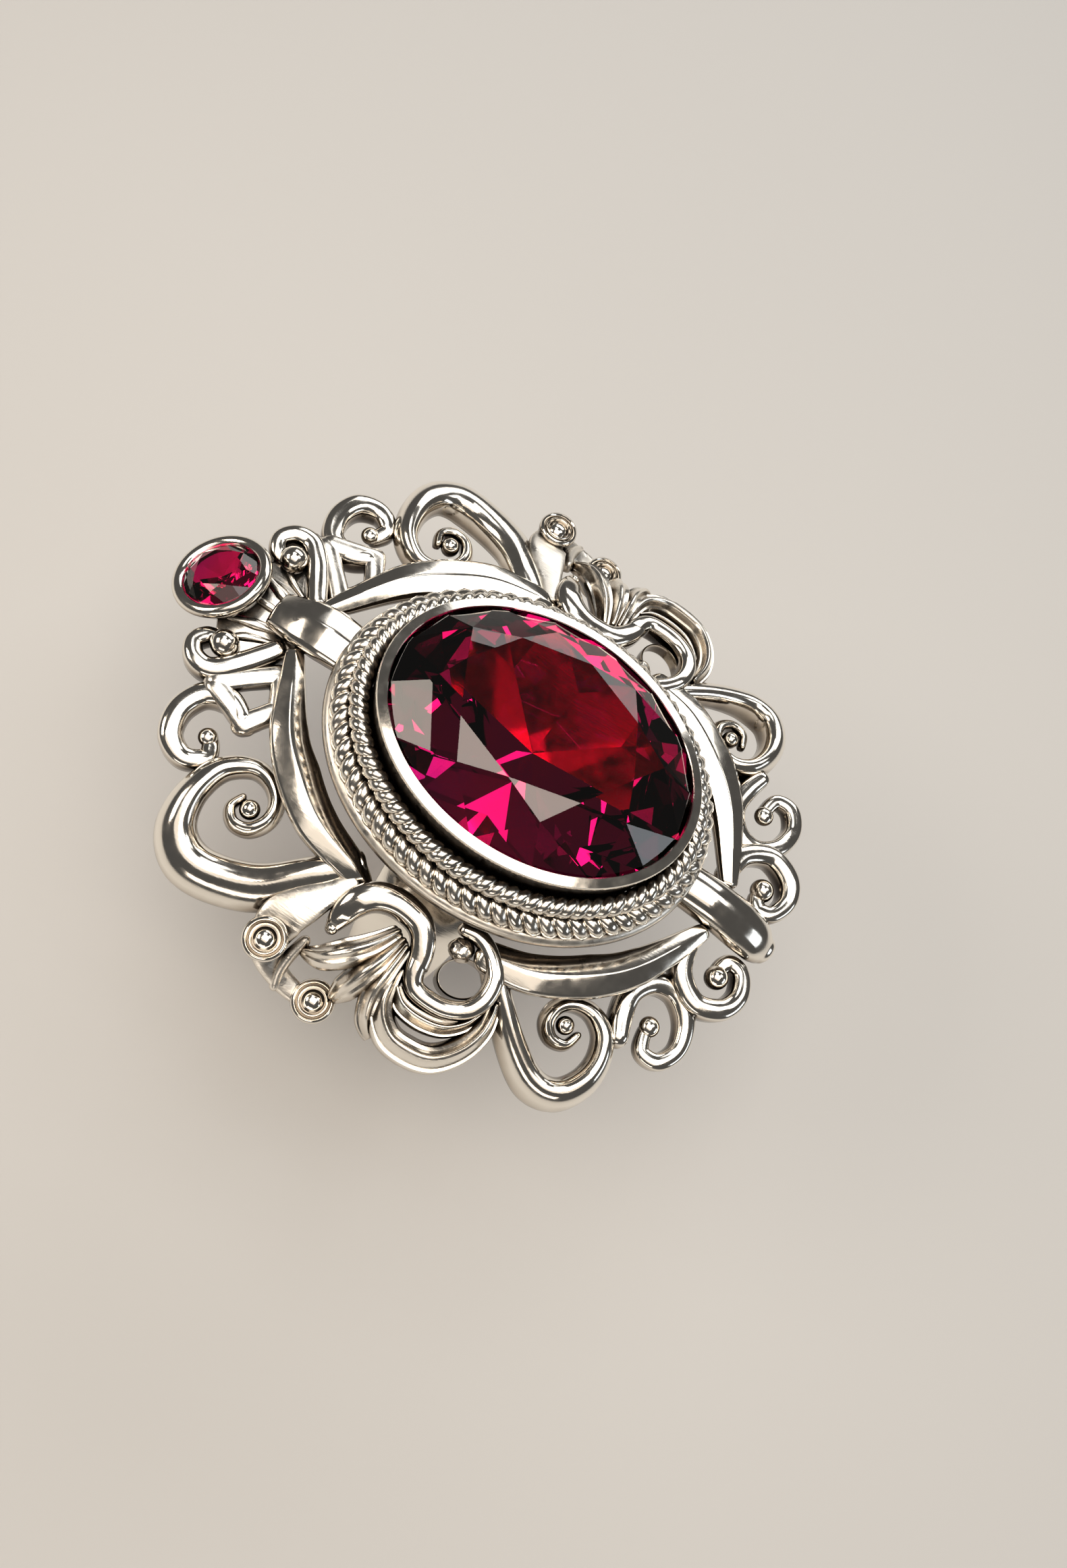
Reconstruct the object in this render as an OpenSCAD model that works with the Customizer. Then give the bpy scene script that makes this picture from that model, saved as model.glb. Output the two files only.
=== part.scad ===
// Cocktail ring: a large oval stone in a plain bezel, two twisted rope borders on a
// rail, an openwork frame of ribbons and scrolls, leaf ornaments at both sides, and
// a small round stone at the tip of the head. Z is up through the large stone, Y runs
// along the finger, and the origin is the centre of the finger hole.

/* [Finger hole and shank] */
// Inside diameter of the shank
finger_d = 17.3; // [16:0.1:21]
// Width of the shank along the finger
shank_w = 4; // [3.5:0.1:6]
// Thickness of the shank at its lowest point
shank_t = 1.2; // [1:0.1:2]

/* [Centre stone and bezel] */
// Width of the oval stone, across the finger
stone_w = 12; // [11.6:0.1:12]
// Length of the oval stone, along the finger
stone_l = 16; // [15.6:0.1:16]
// Height of the crown above the girdle
crown_h = 1.7; // [1.2:0.1:2.4]
// Depth of the pavilion below the girdle
pavilion_h = 4.9; // [4:0.1:5]
// Thickness of the bezel wall
wall_t = 0.36; // [0.3:0.02:0.5]
// Height of the bezel rim above the openwork
rim_h = 4.5; // [4.2:0.1:5]

/* [Rope borders] */
// Diameter of the upper, finer twisted rope
inner_rope_d = 1.1; // [0.8:0.05:1.2]
// Diameter of the lower, stouter twisted rope
outer_rope_d = 1.3; // [1:0.05:1.4]
// Diameter of the plain rail outside the ropes
rail_d = 0.9; // [0.7:0.05:1]

/* [Openwork] */
// Widest part of the ribbons of the frame
ribbon_w = 2.2; // [1.4:0.1:2.4]
// Thickness of the ribbons
ribbon_t = 1.5; // [1:0.1:2]
// Widest part of the big scrolls
scroll_w = 2.4; // [1.2:0.1:2.6]
// Width of the small curls
curl_w = 1.1; // [0.6:0.05:1.2]

/* [Accent stone] */
// Diameter of the round accent stone
accent_d = 4; // [3.4:0.1:4.1]
// Outside diameter of its bezel
accent_bezel_d = 5.2; // [5:0.1:5.4]

/* [Hidden] */
$fn = 64;
silver = "#cfcac0";
dark_silver = "#a9a499";
ruby = "#9c0c30";
bore_r = finger_d / 2;
deck = bore_r + 3.1;
rim_z = deck + rim_h;
girdle_z = rim_z - 0.45;
bezel_a = stone_w / 2 + 0.02 + wall_t;
bezel_b = stone_l / 2 + 0.02 + wall_t;
flat_z = bore_r + 0.85;
outer_r = bore_r + shank_t + 0.75;
accent_y = 18;
accent_top = deck - 1;
accent_tilt = -26;

// How far the openwork drops at the distance x from the middle, towards the finger's sides
function drop(x) = 0.055 * pow(max(abs(x) - 8, 0), 2);

// Centre lines in plan with their heights, for the right side of the head
top_scroll_line = [
    [8.3, 3.5, -1.1], [10, 5.2, -1.3], [11.7, 7, -1.6], [12.5, 9.2, -1.8],
    [12.5, 10.9, -1.8], [11.5, 12.1, -1.8], [9.8, 12.4, -1.8], [8.1, 11.9, -1.8],
    [7.2, 10.7, -1.8], [7.4, 9.4, -1.9], [8.3, 8.9, -2.1], [9.2, 9.3, -2.2], [9.7, 9.5, -2.2]
];
bottom_scroll_line = [
    [8.3, -3.6, -1.1], [9.9, -5.3, -1.3], [11.4, -7.2, -1.6], [12.3, -9, -1.8],
    [12.1, -10.4, -1.8], [11, -11.2, -1.8], [9.7, -11.3, -1.8], [8.5, -10.8, -1.8],
    [7.9, -9.8, -1.8], [7.9, -8.7, -1.9], [8.6, -8.1, -2.1], [9.5, -8.5, -2.2], [9.9, -8.8, -2.2]
];
top_curl_line = [
    [5.6, 12.5, -1.9], [5.1, 13.6, -2.1], [5.5, 14.8, -2.3], [6.8, 15.3, -2.4],
    [8.1, 14.9, -2.5], [8.6, 13.8, -2.6], [8, 12.9, -2.6], [7.2, 13.2, -2.6], [6.8, 13.6, -2.6]
];
bottom_curl_line = [
    [8.3, -11.5, -2], [7.2, -11.1, -2.2], [5.9, -11, -2.2], [4.8, -11.8, -2.3],
    [4.6, -13.1, -2.4], [5.5, -14.2, -2.5], [6.9, -14.6, -2.6], [8, -14, -2.6],
    [8, -13, -2.6], [7, -12.7, -2.6], [6.4, -12.8, -2.6]
];
top_end_line = [
    [1.6, 13.2, -1.6], [2.7, 13.9, -1.8], [3.7, 14.6, -1.9], [4.4, 15.4, -2],
    [4.3, 16.3, -2], [3.6, 16.8, -2], [2.9, 16.4, -2], [2.9, 15.6, -2], [3, 15.1, -2]
];
bottom_end_line = [
    [2.2, -12.2, -1.6], [3.7, -12.6, -1.8], [4.6, -14, -2], [4.1, -15.4, -2],
    [3, -15.9, -2], [1.9, -15.5, -2], [1.7, -14.7, -2], [2.5, -14.4, -2], [3, -14.4, -2]
];

// A value part way along a short list of values
function along(v, f) =
    let (k = f * (len(v) - 1), i = min(floor(k), len(v) - 2))
    v[i] + (v[i + 1] - v[i]) * (k - i);

// A point part way along a smooth curve through all the points of p
function smooth(p, f) =
    let (
        n = len(p) - 1,
        k = min(floor(f * n), n - 1),
        u = f * n - k,
        a = p[max(k - 1, 0)],
        b = p[k],
        c = p[k + 1],
        d = p[min(k + 2, n)]
    )
    0.5 * (2 * b + (c - a) * u + (2 * a - 5 * b + 4 * c - d) * u * u
        + (3 * b - a - 3 * c + d) * u * u * u);

// Outlines in units of half width and half height
round_outline = [for (i = [0:7]) [cos(45 * i + 22.5), sin(45 * i + 22.5)] * 1.06];
keel_outline = [[-1, -1], [1, -1], [1, 0], [0.15, 1], [-1, 0]];
dome_outline = [[-1, -1], [1, -1], [0.96, 0], [0.6, 0.75], [0, 1], [-0.6, 0.75], [-0.96, 0]];

// Direction of a path in plan at its point i
function heading(p, i) =
    let (d = p[min(i + 1, len(p) - 1)] - p[max(i - 1, 0)], v = [d.x, d.y])
    v / norm(v);

// A strap swept along the curve through the points of p, in steps stations
module strap(p, wide, high, outline, steps) {
    path = [for (i = [0:steps])
        let (q = smooth(p, i / steps)) [q.x, q.y, q.z - drop(q.x)]];
    m = len(outline);
    points = [for (i = [0:steps])
        let (t = heading(path, i), w = along(wide, i / steps), h = along(high, i / steps))
        for (o = outline) path[i] + [-t.y * o.x * w, t.x * o.x * w, o.y * h]];
    sides = [for (i = [0:steps - 1])
        for (j = [0:m - 1])
            let (a = i * m + j, b = i * m + (j + 1) % m)
            each [[a, b, b + m], [a, b + m, a + m]]];
    first = [for (j = [1:m - 2]) [0, j + 1, j]];
    last = [for (j = [1:m - 2]) [0, j, j + 1] + [1, 1, 1] * (steps * m)];
    translate([0, 0, deck])
        polyhedron(points = points, faces = concat(sides, first, last));
}

module at_left() {
    mirror([1, 0, 0])
        children();
}

module at_bottom() {
    mirror([0, 1, 0])
        children();
}

// An elliptical ring wall of even thickness t
module oval_wall(a, b, t, h) {
    linear_extrude(h)
        difference() {
            scale([a, b])
                circle(1);
            scale([a - t, b - t])
                circle(1);
        }
}

// A round wire bent to an ellipse with semi-axes a and b
module oval_wire(a, b, d) {
    scale([1, b / a, 1])
        rotate_extrude()
            translate([a, 0])
                circle(d = d);
}

// A cut stone with an eight-sided table, its girdle on z = 0
module cut_stone(a, b, crown, pavilion, girdle, table) {
    star = (table + 1) / 2;
    low = 0.24;
    star_z = crown * (1 - star * cos(22.5)) / (1 - table);
    low_z = -pavilion * (1 - low * cos(22.5));
    points = concat(
        [for (i = [0:7]) [table * cos(45 * i), table * sin(45 * i), girdle + crown]],
        [for (i = [0:7]) [star * cos(45 * i + 22.5), star * sin(45 * i + 22.5),
            girdle + star_z]],
        [for (i = [0:15]) [cos(22.5 * i), sin(22.5 * i), girdle]],
        [for (i = [0:15]) [cos(22.5 * i), sin(22.5 * i), 0]],
        [for (i = [0:7]) [low * cos(45 * i + 22.5), low * sin(45 * i + 22.5), low_z]],
        [[0, 0, -pavilion]]
    );
    faces = [for (i = [0:7])
        let (
            n = (i + 1) % 8,
            g = 16 + 2 * i,
            g1 = 17 + 2 * i,
            g2 = 16 + 2 * n
        )
        each [
            [0, n, i],
            [i, n, 8 + i],
            [i, 8 + i, g],
            [n, g2, 8 + i],
            [8 + i, g1, g],
            [8 + i, g2, g1],
            [g, g1, g1 + 16], [g, g1 + 16, g + 16],
            [g1, g2, g2 + 16], [g1, g2 + 16, g1 + 16],
            [48 + i, g + 16, g1 + 16],
            [48 + i, g1 + 16, g2 + 16],
            [56, g + 16, 48 + i],
            [56, 48 + i, g2 + 16]
        ]];
    scale([a, b, 1])
        polyhedron(points = points, faces = [for (f = faces) if (f[0] != f[2]) f]);
}

module shank() {
    color(silver)
        difference() {
            intersection() {
                translate([0, 0, 0.75])
                    rotate([90, 0, 0])
                        cylinder(r = outer_r, h = 20, center = true);
                rotate([90, 0, 90])
                    linear_extrude(40, center = true)
                        polygon([
                            [-shank_w / 2, -20], [shank_w / 2, -20],
                            [shank_w / 2, -2], [shank_w / 2 + 1.2, flat_z],
                            [-shank_w / 2 - 1.2, flat_z], [-shank_w / 2, -2]
                        ]);
            }
            rotate([90, 0, 0])
                cylinder(r = bore_r, h = 30, center = true);
        }
}

module gallery_plate() {
    color(dark_silver)
        translate([0, 0, deck - 0.1])
            oval_wall(bezel_a + 1.2, bezel_b + 1.1, 1.2, 1.1);
}

module bezel_wall() {
    color(silver) {
        translate([0, 0, flat_z - 0.15])
            oval_wall(bezel_a, bezel_b, wall_t, rim_z - flat_z + 0.15);
        translate([0, 0, rim_z - 0.25])
            oval_wall(bezel_a, bezel_b, wall_t + 0.17, 0.25);
    }
}

module bezel_seat() {
    color(dark_silver)
        translate([0, 0, girdle_z - 1.5])
            difference() {
                scale([stone_w / 2 + 0.02, stone_l / 2 + 0.02, 1])
                    cylinder(r = 1, h = 1.5);
                translate([0, 0, -0.1])
                    scale([stone_w / 2 - 0.8, stone_l / 2 - 0.8, 1])
                        cylinder(r = 1, h = 2);
                translate([0, 0, 1.5 - pavilion_h])
                    scale([stone_w / 2, stone_l / 2, 1])
                        cylinder(r1 = 0, r2 = 1.2, h = pavilion_h * 1.2);
            }
}

module main_stone() {
    color(ruby)
        translate([0, 0, girdle_z])
            cut_stone(stone_w / 2, stone_l / 2, crown_h, pavilion_h, 0.2, 0.56);
}

module inner_rope() {
    color(silver)
        translate([0, 0, deck + 2.45])
            oval_wire(bezel_a + inner_rope_d / 2, bezel_b + inner_rope_d / 2, inner_rope_d);
}

module outer_rope() {
    color(silver)
        translate([0, 0, deck + 1.35])
            oval_wire(bezel_a + 1, bezel_b + 1, outer_rope_d);
}

module rope_rail() {
    color(silver)
        translate([0, 0, deck + 0.5])
            oval_wire(bezel_a + 1.2 + rail_d / 2, bezel_b + 1.1 + rail_d / 2, rail_d);
}

// One of the four ridged ribbons, drawn for the right top quarter
module ribbon() {
    strap(
        [[8.8, 3.6, -0.9], [8.3, 6.0, -0.75], [6.8, 8.5, -0.7], [4.9, 10.4, -0.7],
            [1.5, 12.4, -0.7]],
        [0.7, 0.9, 1, 0.85, 0.4] * ribbon_w / 2,
        [0.8, 0.95, 1, 0.95, 0.6] * ribbon_t / 2,
        keel_outline, 12
    );
}

module right_top_ribbon() {
    color(silver)
        ribbon();
}

module left_top_ribbon() {
    color(silver)
        at_left()
            ribbon();
}

module right_bottom_ribbon() {
    color(silver)
        at_bottom()
            ribbon();
}

module left_bottom_ribbon() {
    color(silver)
        at_left()
            at_bottom()
                ribbon();
}

// A big scroll that tapers from its broad back to a round pad at its eye
module top_scroll() {
    strap(
        top_scroll_line,
        [0.7, 0.85, 1, 1, 1, 0.85, 0.68, 0.55, 0.46, 0.42, 0.42, 0.8, 0.3] * scroll_w / 2,
        [0.6, 0.8, 1, 1.1, 1.1, 1, 0.9, 0.8, 0.75, 0.7, 0.6, 0.6, 0.3],
        round_outline, 44
    );
}

module right_top_scroll() {
    color(silver)
        top_scroll();
}

module left_top_scroll() {
    color(silver)
        at_left()
            top_scroll();
}

module bottom_scroll() {
    strap(
        bottom_scroll_line,
        [0.5, 0.55, 0.62, 0.7, 0.72, 0.66, 0.56, 0.5, 0.44, 0.4, 0.4, 0.7, 0.3]
            * scroll_w / 2,
        [0.6, 0.8, 1, 1.2, 1.2, 1.1, 1, 0.9, 0.8, 0.7, 0.6, 0.6, 0.3],
        round_outline, 44
    );
}

module right_bottom_scroll() {
    color(silver)
        bottom_scroll();
}

module left_bottom_scroll() {
    color(silver)
        at_left()
            bottom_scroll();
}

// A middle curl along the line p
module curl(p) {
    strap(
        p,
        [0.8, 1, 1, 1, 1, 0.9, 0.8, 1.1, 0.5] * curl_w / 2,
        [0.8, 0.95, 0.95, 0.95, 0.95, 0.8, 0.7, 0.6, 0.3],
        round_outline, 30
    );
}

module right_top_curl() {
    color(silver)
        curl(top_curl_line);
}

module left_top_curl() {
    color(silver)
        at_left()
            curl(top_curl_line);
}

module right_bottom_curl() {
    color(silver)
        curl(bottom_curl_line);
}

module left_bottom_curl() {
    color(silver)
        at_left()
            curl(bottom_curl_line);
}

// The small curl along the line p beside a tip of the head, with a ball at its end
module end_curl(p) {
    strap(
        p,
        [0.9, 1, 1, 1, 0.9, 0.8, 0.8, 1.1, 0.5] * curl_w / 2,
        [0.8, 0.9, 0.95, 0.95, 0.9, 0.8, 0.7, 0.7, 0.3],
        round_outline, 28
    );
}

module right_top_end_curl() {
    color(silver)
        end_curl(top_end_line);
}

module left_top_end_curl() {
    color(silver)
        at_left()
            end_curl(top_end_line);
}

module right_bottom_end_curl() {
    color(silver)
        end_curl(bottom_end_line);
}

module left_bottom_end_curl() {
    color(silver)
        at_left()
            end_curl(bottom_end_line);
}

// The little open frame between the ribbon and the top curls
module link() {
    translate([0, 0, deck - 2.3])
        linear_extrude(1.1)
            difference() {
                polygon([[2.4, 12.3], [4.2, 11], [6.1, 12.2], [5.4, 14.7], [4.6, 15]]);
                polygon([[3.5, 12.6], [4.3, 12], [5.2, 12.6], [4.7, 13.7]]);
            }
}

module right_top_link() {
    color(silver)
        link();
}

module left_top_link() {
    color(silver)
        at_left()
            link();
}

module top_band() {
    color(silver)
        strap(
            [[0, 9.9, -0.1], [0, 11.5, -0.1], [0, 13, -0.4], [0, 14.6, -1.1]],
            [1.3, 1.4, 1.3, 0.9],
            [0.8, 0.9, 0.85, 0.7],
            dome_outline, 10
        );
}

module bottom_band() {
    color(silver)
        strap(
            [[0, -9.9, -0.1], [0, -12, -0.2], [0, -14, -0.6], [0, -15.6, -1.1],
                [0, -16.5, -1.6]],
            [1.2, 1.25, 1.3, 1.2, 0.7],
            [0.8, 0.9, 0.9, 0.8, 0.7],
            dome_outline, 12
        );
}

// Puts a piece of the accent setting on its tilted axis, with the rim at z = 0
module at_accent() {
    translate([0, accent_y, accent_top])
        rotate([accent_tilt, 0, 0])
            children();
}

module accent_bezel() {
    color(silver)
        at_accent()
            difference() {
                union() {
                    translate([0, 0, -1.2])
                        cylinder(d1 = accent_d + 0.4, d2 = accent_bezel_d - 0.1, h = 0.7);
                    translate([0, 0, -0.5])
                        rotate_extrude()
                            translate([(accent_bezel_d + accent_d) / 4 - 0.05, 0])
                                circle(d = (accent_bezel_d - accent_d) / 2 + 0.1);
                }
                translate([0, 0, -2])
                    cylinder(d = accent_d + 0.04, h = 1.6);
                translate([0, 0, -1])
                    cylinder(d = accent_d - 0.2, h = 3);
            }
}

module accent_seat() {
    color(dark_silver)
        at_accent()
            translate([0, 0, -1.2])
                difference() {
                    cylinder(d = accent_d + 0.04, h = 0.7);
                    translate([0, 0, -0.1])
                        cylinder(d = accent_d - 1, h = 2);
                    translate([0, 0, -0.35])
                        cylinder(r1 = 0, r2 = accent_d / 2 + 0.02, h = 1.05);
                }
}

module accent_stone() {
    color(ruby)
        at_accent()
            translate([0, 0, -0.5])
                cut_stone(accent_d / 2, accent_d / 2, 0.6, 1.0, 0.1, 0.56);
}

module accent_plate() {
    color(silver)
        translate([0, 0, deck - 2.4])
            linear_extrude(0.8)
                polygon([
                    [-1.4, 12.8], [1.4, 12.8], [2.6, 13.7], [3.7, 14.5], [3.4, 15.4],
                    [2.4, 16.4], [1.6, 16.9], [-1.6, 16.9], [-2.4, 16.4], [-3.4, 15.4],
                    [-3.7, 14.5], [-2.6, 13.7]
                ]);
}

// The flat branch that carries the buttons
module branch() {
    strap(
        [[9.2, 3.5, -0.9], [10.3, 4.1, -0.9], [11.4, 4.8, -0.8], [12.6, 5.3, -0.7],
            [13.8, 5, -1], [14.5, 4, -1.5], [14.7, 2.8, -1.8], [14.7, 1.8, -1.9]],
        [0.4, 0.6, 0.9, 1, 0.8, 0.6, 0.5, 0.5],
        [0.5, 0.5, 0.5, 0.5, 0.5, 0.45, 0.4, 0.4],
        round_outline, 20
    );
}

module right_branch() {
    color(silver)
        branch();
}

module left_branch() {
    color(silver)
        at_left()
            branch();
}

// A domed button in a cup, its top at height z below the deck
module button(x, y, z) {
    translate([x, y, deck + z]) {
        difference() {
            translate([0, 0, -1.6])
                cylinder(r = 1.08, h = 1.6);
            translate([0, 0, -0.35])
                cylinder(r = 0.8, h = 1);
        }
        translate([0, 0, -0.55])
            sphere(0.55);
    }
}

module right_upper_button() {
    color(silver)
        button(13.8, 5.4, -1.3);
}

module left_upper_button() {
    color(silver)
        at_left()
            button(13.8, 5.4, -1.3);
}

module right_lower_button() {
    color(silver)
        button(14.6, 2, -3.6);
}

module left_lower_button() {
    color(silver)
        at_left()
            button(14.6, 2, -3.6);
}

// The strap that hooks over at its upper end and runs down into the volute
module hook_leaf() {
    strap(
        [[11.6, 3.2, -1], [11, 3.15, -0.85], [10.1, 2.9, -0.75], [9.4, 2.25, -0.7],
            [9.1, 1.3, -0.7], [9.2, 0.2, -0.7], [9.6, -0.5, -0.7], [10.4, -1, -0.7],
            [11.2, -1.2, -0.7]],
        [0.35, 0.6, 0.74, 0.74, 0.7, 0.66, 0.62, 0.58, 0.55],
        [0.5, 0.8, 0.95, 0.95, 0.95, 0.95, 0.9, 0.85, 0.8],
        dome_outline, 28
    );
}

module right_hook_leaf() {
    color(silver)
        hook_leaf();
}

module left_hook_leaf() {
    color(silver)
        at_left()
            hook_leaf();
}

// A ridged leaf of the fan along the line p
module frond(p, wide) {
    strap(p, wide, [0.6, 0.8, 0.8, 0.75, 0.3], keel_outline, 12);
}

module upper_frond() {
    frond(
        [[10, 0.4, -1], [11.3, 1.1, -0.6], [12.2, 1.9, -0.4], [12.9, 2.8, -0.6],
            [13.1, 3.8, -1.2]],
        [0.4, 0.7, 0.8, 0.7, 0.2]
    );
}

module middle_frond() {
    frond(
        [[10.2, 0, -1], [11.6, 0.4, -0.5], [12.7, 0.8, -0.3], [13.6, 1.1, -0.7],
            [14.2, 1.3, -1.4]],
        [0.4, 0.7, 0.8, 0.7, 0.2]
    );
}

module lower_frond() {
    frond(
        [[10.4, -0.3, -1], [12, -0.2, -0.5], [13.2, -0.2, -0.3], [14.2, -0.6, -0.5],
            [14.7, -1.3, -1.1]],
        [0.4, 0.6, 0.6, 0.5, 0.2]
    );
}

module right_upper_frond() {
    color(silver)
        upper_frond();
}

module left_upper_frond() {
    color(silver)
        at_left()
            upper_frond();
}

module right_middle_frond() {
    color(silver)
        middle_frond();
}

module left_middle_frond() {
    color(silver)
        at_left()
            middle_frond();
}

module right_lower_frond() {
    color(silver)
        lower_frond();
}

module left_lower_frond() {
    color(silver)
        at_left()
            lower_frond();
}

// The two long leaves that curve round below the fan
module outer_crescent() {
    strap(
        [[11.4, -0.5, -1], [13.2, -0.8, -0.6], [14.1, -1.8, -0.4], [14.3, -3, -0.4],
            [14, -4.2, -0.5], [13, -5.1, -0.6], [11.7, -5.5, -0.8], [10.4, -5.3, -1]],
        [0.4, 0.6, 0.75, 0.8, 0.8, 0.7, 0.6, 0.4],
        [0.6, 0.8, 0.85, 0.85, 0.85, 0.8, 0.7, 0.6],
        keel_outline, 22
    );
}

module right_outer_crescent() {
    color(silver)
        outer_crescent();
}

module left_outer_crescent() {
    color(silver)
        at_left()
            outer_crescent();
}

module inner_crescent() {
    strap(
        [[12.2, -0.9, -0.9], [12.7, -1.6, -0.7], [12.8, -2.7, -0.7], [12.6, -3.8, -0.7],
            [11.9, -4.6, -0.8], [11, -5, -1]],
        [0.3, 0.5, 0.55, 0.5, 0.45, 0.3],
        [0.6, 0.7, 0.75, 0.75, 0.7, 0.5],
        keel_outline, 16
    );
}

module right_inner_crescent() {
    color(silver)
        inner_crescent();
}

module left_inner_crescent() {
    color(silver)
        at_left()
            inner_crescent();
}

// The loop that carries the hooked strap on round the bead
module volute() {
    strap(
        [[10.4, -1, -0.7], [11.3, -1.2, -0.7], [11.85, -1.6, -0.7], [12, -2.4, -0.7],
            [11.9, -3.4, -0.7], [11.4, -4.3, -0.7], [10.6, -4.7, -0.7], [9.7, -4.65, -0.75],
            [9, -4.2, -0.8], [8.45, -3.5, -0.85], [8.2, -2.8, -0.85], [8.3, -2.1, -0.85]],
        [0.55, 0.5, 0.5, 0.5, 0.5, 0.5, 0.5, 0.45, 0.45, 0.4, 0.4, 0.35],
        [0.8, 0.85, 0.85, 0.85, 0.85, 0.85, 0.8, 0.8, 0.75, 0.7, 0.6, 0.5],
        dome_outline, 36
    );
}

module right_volute() {
    color(silver)
        volute();
}

module left_volute() {
    color(silver)
        at_left()
            volute();
}

module bead() {
    translate([9.1, -2.6, deck - 1.2])
        sphere(0.65);
}

module right_bead() {
    color(silver)
        bead();
}

module left_bead() {
    color(silver)
        at_left()
            bead();
}

shank();
gallery_plate();
bezel_wall();
bezel_seat();
main_stone();
inner_rope();
outer_rope();
rope_rail();
left_top_ribbon();
right_top_ribbon();
left_bottom_ribbon();
right_bottom_ribbon();
left_top_scroll();
right_top_scroll();
left_bottom_scroll();
right_bottom_scroll();
left_top_curl();
right_top_curl();
left_bottom_curl();
right_bottom_curl();
left_top_end_curl();
right_top_end_curl();
left_bottom_end_curl();
right_bottom_end_curl();
left_top_link();
right_top_link();
top_band();
bottom_band();
accent_bezel();
accent_seat();
accent_stone();
accent_plate();
left_branch();
right_branch();
left_upper_button();
right_upper_button();
left_lower_button();
right_lower_button();
left_hook_leaf();
right_hook_leaf();
left_upper_frond();
right_upper_frond();
left_middle_frond();
right_middle_frond();
left_lower_frond();
right_lower_frond();
left_outer_crescent();
right_outer_crescent();
left_inner_crescent();
right_inner_crescent();
left_volute();
right_volute();
left_bead();
right_bead();
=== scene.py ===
from math import cos, hypot, pi, radians, sin, sqrt

import bmesh
import bpy
from mathutils import Matrix, Vector
from mathutils.noise import noise as noise_at


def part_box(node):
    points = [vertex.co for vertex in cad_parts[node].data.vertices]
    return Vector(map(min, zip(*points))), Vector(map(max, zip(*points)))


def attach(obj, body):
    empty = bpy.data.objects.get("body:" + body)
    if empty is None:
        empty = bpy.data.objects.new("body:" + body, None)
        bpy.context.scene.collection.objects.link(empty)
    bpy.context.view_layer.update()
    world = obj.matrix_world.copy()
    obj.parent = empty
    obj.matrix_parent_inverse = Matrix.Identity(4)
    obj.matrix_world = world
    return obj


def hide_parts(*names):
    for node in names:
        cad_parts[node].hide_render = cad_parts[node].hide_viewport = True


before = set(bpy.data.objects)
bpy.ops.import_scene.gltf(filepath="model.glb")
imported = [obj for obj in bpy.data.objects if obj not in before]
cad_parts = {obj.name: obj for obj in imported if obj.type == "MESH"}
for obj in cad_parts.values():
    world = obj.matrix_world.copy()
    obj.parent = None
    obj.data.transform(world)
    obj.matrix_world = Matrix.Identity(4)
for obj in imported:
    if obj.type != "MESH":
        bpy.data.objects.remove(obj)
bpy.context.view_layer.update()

# Lengths in this script are millimetres until a piece is finished, which makes them metres.
MM = 0.001

# Points closer than this are merged: in any finished piece, and in a turned shape's poles.
MERGE, MERGE_POLE = 1e-4, 4e-3

# ---------------------------------------------------------------- places from the solids


def low(node):
    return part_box(node)[0] / MM


def high(node):
    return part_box(node)[1] / MM


DECK = low("gallery_plate").z + 0.1
RIM = high("bezel_wall").z
BEZEL_A, BEZEL_B = high("bezel_wall").x, high("bezel_wall").y
STONE_A, STONE_B = high("main_stone").x, high("main_stone").y
STONE_TOP, CULET = high("main_stone").z, low("main_stone").z
FLOOR = low("shank").z
HEAD_CENTRE = Vector((0, 0, 12))
ACCENT_Y = 18
ACCENT_TOP = DECK - 1
ACCENT_TILT = -26

# ---------------------------------------------------------------- materials


def material(name, metal, rough, tint):
    mat = bpy.data.materials.new(name)
    mat.use_nodes = True
    shader = mat.node_tree.nodes["Principled BSDF"]
    shader.inputs["Metallic"].default_value = metal
    shader.inputs["Roughness"].default_value = rough
    shader.inputs["Base Color"].default_value = (*tint, 1)
    return mat, mat.node_tree, shader


def noise(tree, scale, detail=3, stretch=None, turn=0):
    """A noise on object coordinates, stretched along one axis where asked."""
    where = tree.nodes.new("ShaderNodeTexCoord")
    out = where.outputs["Object"]
    if stretch:
        mapping = tree.nodes.new("ShaderNodeMapping")
        mapping.inputs["Scale"].default_value = stretch
        mapping.inputs["Rotation"].default_value = (0, 0, radians(turn))
        tree.links.new(out, mapping.inputs["Vector"])
        out = mapping.outputs["Vector"]
    tex = tree.nodes.new("ShaderNodeTexNoise")
    tex.inputs["Scale"].default_value = scale
    tex.inputs["Detail"].default_value = detail
    tree.links.new(out, tex.inputs["Vector"])
    return tex.outputs["Fac"]


def ramp(tree, value, stops):
    """Maps a value through colour stops given as (place, colour)."""
    node = tree.nodes.new("ShaderNodeValToRGB")
    marks = node.color_ramp.elements
    while len(marks) < len(stops):
        marks.new(0.5)
    for mark, (place, tint) in zip(marks, stops):
        mark.position = place
        mark.color = (*tint, 1)
    tree.links.new(value, node.inputs["Fac"])
    return node.outputs["Color"]


def weigh(tree, value, by, plus):
    """One value times a number, plus another value."""
    node = tree.nodes.new("ShaderNodeMath")
    node.operation = "MULTIPLY_ADD"
    node.inputs[1].default_value = by
    tree.links.new(value, node.inputs[0])
    tree.links.new(plus, node.inputs[2])
    return node.outputs["Value"]


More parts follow.
